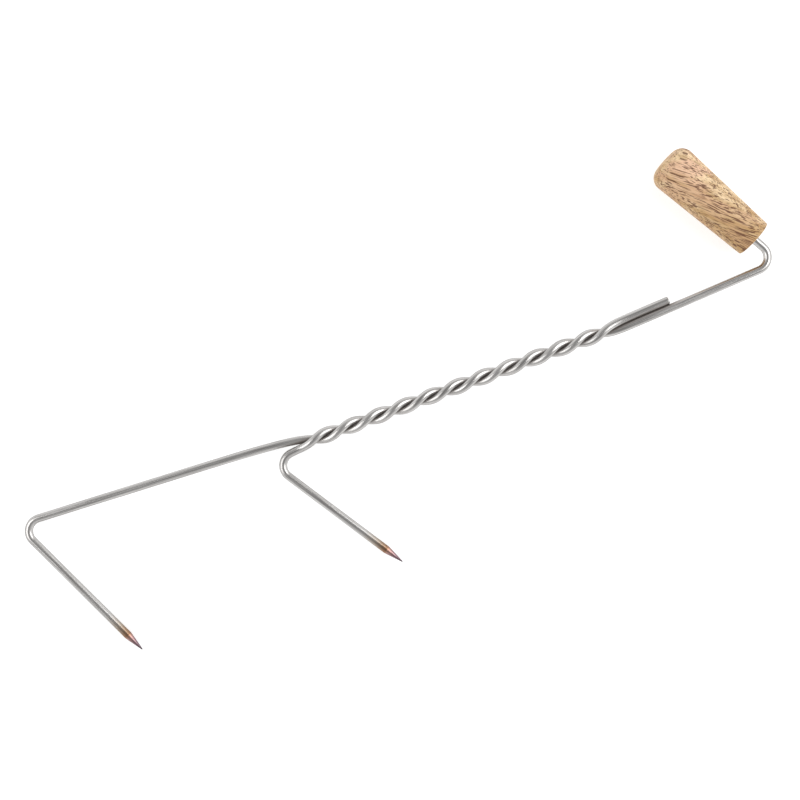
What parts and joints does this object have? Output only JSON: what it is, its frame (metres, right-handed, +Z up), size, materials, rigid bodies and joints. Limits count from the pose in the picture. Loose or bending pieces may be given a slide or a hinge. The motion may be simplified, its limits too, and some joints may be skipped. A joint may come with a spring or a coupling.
{
  "type": "marshmallow roasting fork",
  "caption": "Marshmallow roasting fork of twisted round steel bar, with side prongs ground to points and a tapered wooden grip on a crank.",
  "frame": {"origin": "middle of the fork's outline seen from above, on the surface that the fork lies on", "axes": "+X along the twisted shaft from the prongs to the crank, +Y to the side that the grip points to and away from the prongs, +Z up from the surface that the fork lies on. The bars' plane leans by 3 degrees, because the grip is thicker than the bars."},
  "size_m": [0.4978, 0.1813, 0.0294],
  "materials": {
    "steel": "satin",
    "wood": "matte"
  },
  "bodies": {
    "root": {"front_prong_rod": "steel", "rear_prong_rod": "steel", "wooden_grip": "wood"}
  },
  "joints": []
}
